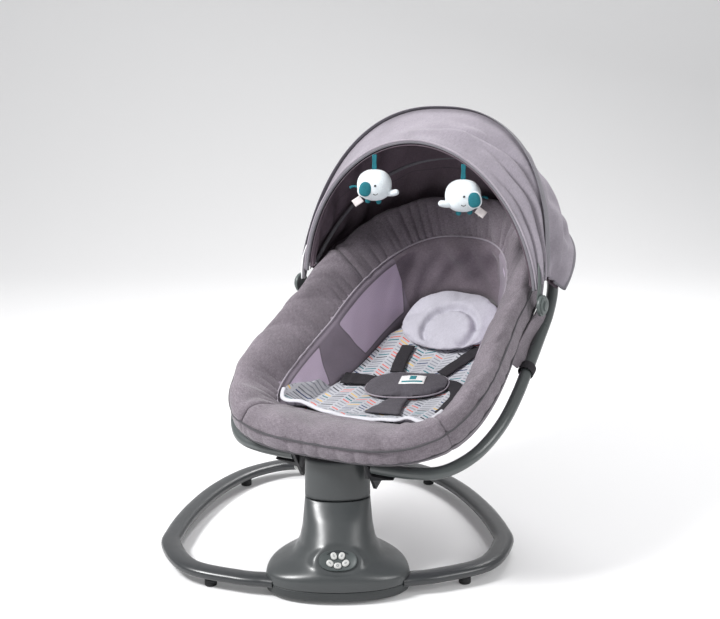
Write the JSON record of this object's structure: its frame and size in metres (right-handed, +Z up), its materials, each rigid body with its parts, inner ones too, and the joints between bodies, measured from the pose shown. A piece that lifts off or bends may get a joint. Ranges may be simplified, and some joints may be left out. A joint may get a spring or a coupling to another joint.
{
  "type": "baby swing",
  "caption": "Padded baby swing: oval bassinet seat with folding canopy and hanging toys, harness and liner, on a motor column with buttons and an oval floor ring.",
  "frame": {"origin": "the floor under the middle of the motor column, at the underside of its rubber pad", "axes": "+Z up, -Y to the front, where the control panel faces; +X to the right seen from the front; the seat is stored swung 32 degrees to one side, its head end towards +X and +Y"},
  "size_m": [0.7159, 0.6468, 0.7247],
  "materials": {
    "pod_plastic": "satin grey-green moulded plastic",
    "ring_paint": "satin dark grey painted steel tube",
    "hoop_paint": "satin grey-green painted steel tube",
    "black_plastic": "matt black moulded plastic",
    "button_plastic": "light grey moulded plastic",
    "rubber": "black rubber",
    "steel": "plain turned steel",
    "bronze": "sintered bronze bush",
    "board": "green circuit board",
    "gear_nylon": "natural nylon",
    "rim_fabric": "heathered grey-lilac woven polyester over foam",
    "lilac_mesh": "lilac breathable mesh",
    "canopy_fabric": "pale lilac-grey woven canopy cloth",
    "liner_fabric": "white printed cotton liner",
    "pillow_fabric": "white quilted velour",
    "harness_fabric": "charcoal webbing and padding",
    "plush": "white short-pile plush",
    "teal_ribbon": "teal satin ribbon"
  },
  "bodies": {
    "base": {"floor_pad": "rubber", "pod_tray": "pod_plastic", "pod_shell": "pod_plastic", "neck_cover": "pod_plastic", "ring_tube_left": "ring_paint", "ring_tube_right": "ring_paint", "ring_rear_sleeve": "black_plastic", "foot_front_left": "rubber", "foot_front_right": "rubber", "foot_rear_left": "rubber", "foot_rear_right": "rubber", "control_bezel": "black_plastic", "circuit_board": "board", "speaker": "black_plastic", "battery_door": "black_plastic", "power_inlet": "black_plastic", "swing_motor": "steel", "bearing_post": "pod_plastic", "lower_bush": "bronze", "upper_bush": "bronze"},
    "swing_head": {"swing_shaft": "steel", "swing_gear": "gear_nylon", "saddle_bracket": "black_plastic"},
    "seat": {"recline_lug_left": "black_plastic", "recline_lug_right": "black_plastic", "support_hoop": "hoop_paint", "seat_frame_tube": "steel", "rim_pad_foot": "rim_fabric", "rim_pad_left": "rim_fabric", "rim_pad_right": "rim_fabric", "rim_pad_head": "rim_fabric", "side_panel_left": "lilac_mesh", "side_panel_right": "lilac_mesh", "head_panel": "rim_fabric", "foot_panel": "rim_fabric", "seat_sling": "rim_fabric", "liner_pad": "liner_fabric", "head_pillow": "pillow_fabric", "waist_pad": "harness_fabric", "crotch_strap": "harness_fabric", "shoulder_strap_left": "harness_fabric", "shoulder_strap_right": "harness_fabric", "canopy_hub_left": "pod_plastic", "canopy_hub_right": "pod_plastic", "rear_bow": "canopy_fabric", "canopy_rear_panel": "canopy_fabric"},
    "canopy_middle": {"mid_bow": "canopy_fabric", "canopy_front_panel": "canopy_fabric"},
    "canopy_front": {"front_bow": "canopy_fabric"},
    "recline_knob": {"recline_knob": "button_plastic"},
    "motor_pinion": {"motor_pinion": "steel"},
    "toy_left": {"toy_left": "plush", "toy_ribbon_left": "teal_ribbon"},
    "toy_right": {"toy_right": "plush", "toy_ribbon_right": "teal_ribbon"},
    "power_button": {"power_button": "button_plastic"},
    "melody_button": {"melody_button": "button_plastic"},
    "volume_button": {"volume_button": "button_plastic"},
    "slower_button": {"slower_button": "button_plastic"},
    "faster_button": {"faster_button": "button_plastic"}
  },
  "joints": [
    {"name": "swing_turn", "type": "hinge", "parent": "base", "child": "swing_head", "pos_m": [0, -0.005, 0], "axis": [0, 0.0698, 0.9976], "range_deg": [0, 64.3]},
    {"name": "pinion_spin", "type": "hinge", "parent": "base", "child": "motor_pinion", "pos_m": [0, 0.03585, 0.05729], "axis": [0, 0.0698, 0.9976], "range_deg": [-199, 0]},
    {"name": "seat_recline", "type": "hinge", "parent": "swing_head", "child": "seat", "pos_m": [-0.00185, 0.00482, 0.18254], "axis": [0.8467, -0.5308, 0.0371], "range_deg": [-20, 0]},
    {"name": "knob_turn", "type": "hinge", "parent": "seat", "child": "recline_knob", "pos_m": [-0.06264, 0.05371, 0.16698], "axis": [0.8467, -0.5308, 0.0371], "range_deg": [0, 90]},
    {"name": "canopy_fold", "type": "hinge", "parent": "seat", "child": "canopy_middle", "pos_m": [0.13744, 0.24304, 0.41232], "axis": [0.8467, -0.5308, 0.0371], "range_deg": [-17, 0], "deforming": ["canopy_front_panel", "canopy_rear_panel"]},
    {"name": "canopy_front_fold", "type": "hinge", "parent": "canopy_middle", "child": "canopy_front", "pos_m": [0.13744, 0.24304, 0.41232], "axis": [0.8467, -0.5308, 0.0371], "range_deg": [-15, 0]},
    {"name": "toy_right_dangle", "type": "hinge", "parent": "canopy_front", "child": "toy_right", "pos_m": [0.21354, 0.19869, 0.64943], "axis": [-0.8436, 0.537, 0], "range_deg": [-25, 25]},
    {"name": "toy_left_dangle", "type": "hinge", "parent": "canopy_front", "child": "toy_left", "pos_m": [0.0669, 0.29078, 0.65367], "axis": [-0.8501, 0.5266, 0], "range_deg": [-25, 25]},
    {"name": "power_button_press", "type": "slide", "parent": "base", "child": "power_button", "axis": [0, 0.7547, -0.6561], "range_m": [0, 0.0012], "stiffness_N_per_m": 500},
    {"name": "melody_button_press", "type": "slide", "parent": "base", "child": "melody_button", "axis": [0, 0.7547, -0.6561], "range_m": [0, 0.0012], "stiffness_N_per_m": 500},
    {"name": "volume_button_press", "type": "slide", "parent": "base", "child": "volume_button", "axis": [0, 0.7547, -0.6561], "range_m": [0, 0.0012], "stiffness_N_per_m": 500},
    {"name": "slower_button_press", "type": "slide", "parent": "base", "child": "slower_button", "axis": [0, 0.7547, -0.6561], "range_m": [0, 0.0012], "stiffness_N_per_m": 500},
    {"name": "faster_button_press", "type": "slide", "parent": "base", "child": "faster_button", "axis": [0, 0.7547, -0.6561], "range_m": [0, 0.0012], "stiffness_N_per_m": 500}
  ],
  "couplings": [
    {"joint": "pinion_spin", "follows": "swing_turn", "ratio": -3.0833},
    {"joint": "canopy_front_fold", "follows": "canopy_fold", "ratio": 0.88}
  ]
}
